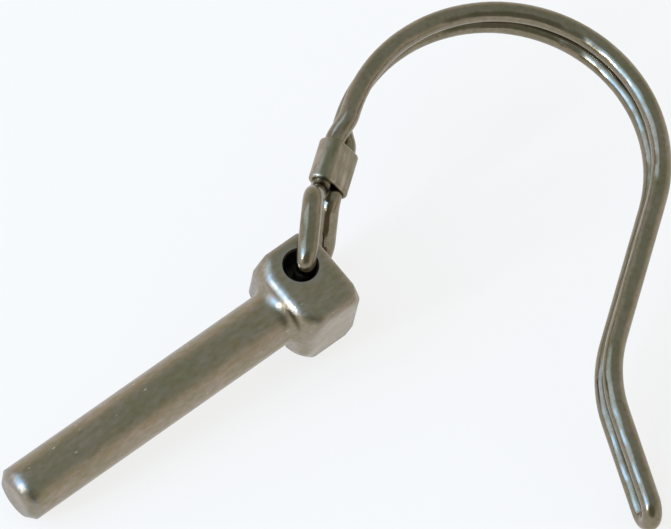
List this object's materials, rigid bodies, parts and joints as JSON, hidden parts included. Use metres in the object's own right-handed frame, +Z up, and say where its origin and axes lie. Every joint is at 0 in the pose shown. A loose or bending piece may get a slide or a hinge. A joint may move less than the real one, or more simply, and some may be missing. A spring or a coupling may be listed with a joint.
{
  "type": "lynch pin",
  "caption": "Round locking pin with a square head and a hinged bail of doubled spring wire that hooks round a tube.",
  "frame": {"origin": "on the floor under the middle of the box of the part as it lies at rest", "axes": "+X along the floor towards the shank's tip, +Z up from the floor"},
  "size_m": [0.1078, 0.0782, 0.0198],
  "materials": {
    "plated_steel": "satin",
    "spring_wire": "satin",
    "pressed_sleeve": "satin"
  },
  "bodies": {
    "pin": {"pin": "plated_steel"},
    "bail": {"wire_bail": "spring_wire", "ferrule": "pressed_sleeve"}
  },
  "joints": [
    {"name": "bail_hinge", "type": "hinge", "parent": "pin", "child": "bail", "pos_m": [0.00299, -0.01735, 0.00904], "axis": [0.0956, 0.1359, 0.9861], "range_deg": [-104, 122]}
  ]
}
